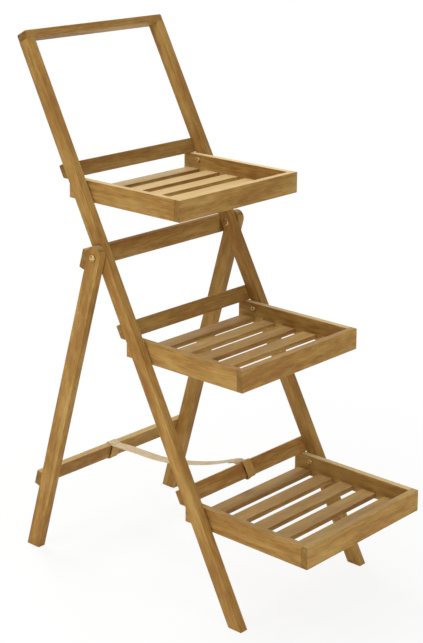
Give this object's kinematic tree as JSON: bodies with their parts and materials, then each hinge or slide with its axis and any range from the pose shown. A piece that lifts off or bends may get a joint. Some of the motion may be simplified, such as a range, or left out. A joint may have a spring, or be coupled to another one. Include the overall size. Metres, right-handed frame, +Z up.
{
  "type": "plant ladder stand",
  "caption": "Folding wooden ladder stand with slatted trays for potted plants, a hinged rear frame and a webbing check strap.",
  "frame": {"origin": "on the floor, on the mid plane, half way between the front of the lowest tray and the back of the rear feet", "axes": "+X to the right seen from the front, +Y to the back, +Z up"},
  "size_m": [0.4474, 0.7658, 1.1095],
  "materials": {
    "oiled_hardwood": "oiled, planed hardwood with eased edges",
    "plain_hardwood": "plain dowel rod",
    "zinc_plated_steel": "zinc plated, satin",
    "brass": "turned brass",
    "cotton_webbing": "undyed woven webbing"
  },
  "bodies": {
    "front_frame": {"left_stile": "oiled_hardwood", "right_stile": "oiled_hardwood", "top_rail": "oiled_hardwood", "top_rail_dowels": "plain_hardwood", "upper_cross_rail": "oiled_hardwood", "middle_cross_rail": "oiled_hardwood", "lower_cross_rail": "oiled_hardwood", "cross_rail_screws": "zinc_plated_steel", "tray_pivot_inserts": "brass", "tray_pivot_bolts": "zinc_plated_steel", "tray_pivot_washers": "zinc_plated_steel", "hinge_bolts": "zinc_plated_steel", "hinge_sleeve_nuts": "zinc_plated_steel", "hinge_washers": "zinc_plated_steel", "strap_front_loop": "cotton_webbing", "strap_span": "cotton_webbing"},
    "rear_frame": {"left_rear_leg": "oiled_hardwood", "right_rear_leg": "oiled_hardwood", "rear_upper_rail": "oiled_hardwood", "rear_lower_rail": "oiled_hardwood", "rear_rail_screws": "zinc_plated_steel", "strap_rear_loop": "cotton_webbing"},
    "upper_tray": {"upper_tray_left_side": "oiled_hardwood", "upper_tray_right_side": "oiled_hardwood", "upper_tray_front_board": "oiled_hardwood", "upper_tray_dowels": "plain_hardwood", "upper_tray_slat_1": "oiled_hardwood", "upper_tray_slat_2": "oiled_hardwood", "upper_tray_slat_3": "oiled_hardwood", "upper_tray_slat_4": "oiled_hardwood", "upper_tray_slat_5": "oiled_hardwood"},
    "middle_tray": {"middle_tray_left_side": "oiled_hardwood", "middle_tray_right_side": "oiled_hardwood", "middle_tray_front_board": "oiled_hardwood", "middle_tray_dowels": "plain_hardwood", "middle_tray_slat_1": "oiled_hardwood", "middle_tray_slat_2": "oiled_hardwood", "middle_tray_slat_3": "oiled_hardwood", "middle_tray_slat_4": "oiled_hardwood", "middle_tray_slat_5": "oiled_hardwood"},
    "lower_tray": {"lower_tray_left_side": "oiled_hardwood", "lower_tray_right_side": "oiled_hardwood", "lower_tray_front_board": "oiled_hardwood", "lower_tray_dowels": "plain_hardwood", "lower_tray_slat_1": "oiled_hardwood", "lower_tray_slat_2": "oiled_hardwood", "lower_tray_slat_3": "oiled_hardwood", "lower_tray_slat_4": "oiled_hardwood", "lower_tray_slat_5": "oiled_hardwood"}
  },
  "joints": [
    {"name": "rear_frame_fold", "type": "hinge", "parent": "front_frame", "child": "rear_frame", "pos_m": [0, 0.14217, 0.67428], "axis": [1, 0, 0], "range_deg": [-40, 0], "deforming": ["strap_span"]},
    {"name": "upper_tray_fold", "type": "hinge", "parent": "front_frame", "child": "upper_tray", "pos_m": [0, 0.20971, 0.8055], "axis": [1, 0, 0], "range_deg": [-118, 0]},
    {"name": "middle_tray_fold", "type": "hinge", "parent": "front_frame", "child": "middle_tray", "pos_m": [0, 0.04642, 0.5035], "axis": [1, 0, 0], "range_deg": [-118, 0]},
    {"name": "lower_tray_fold", "type": "hinge", "parent": "front_frame", "child": "lower_tray", "pos_m": [0, -0.11687, 0.2015], "axis": [1, 0, 0], "range_deg": [-118, 0]}
  ]
}
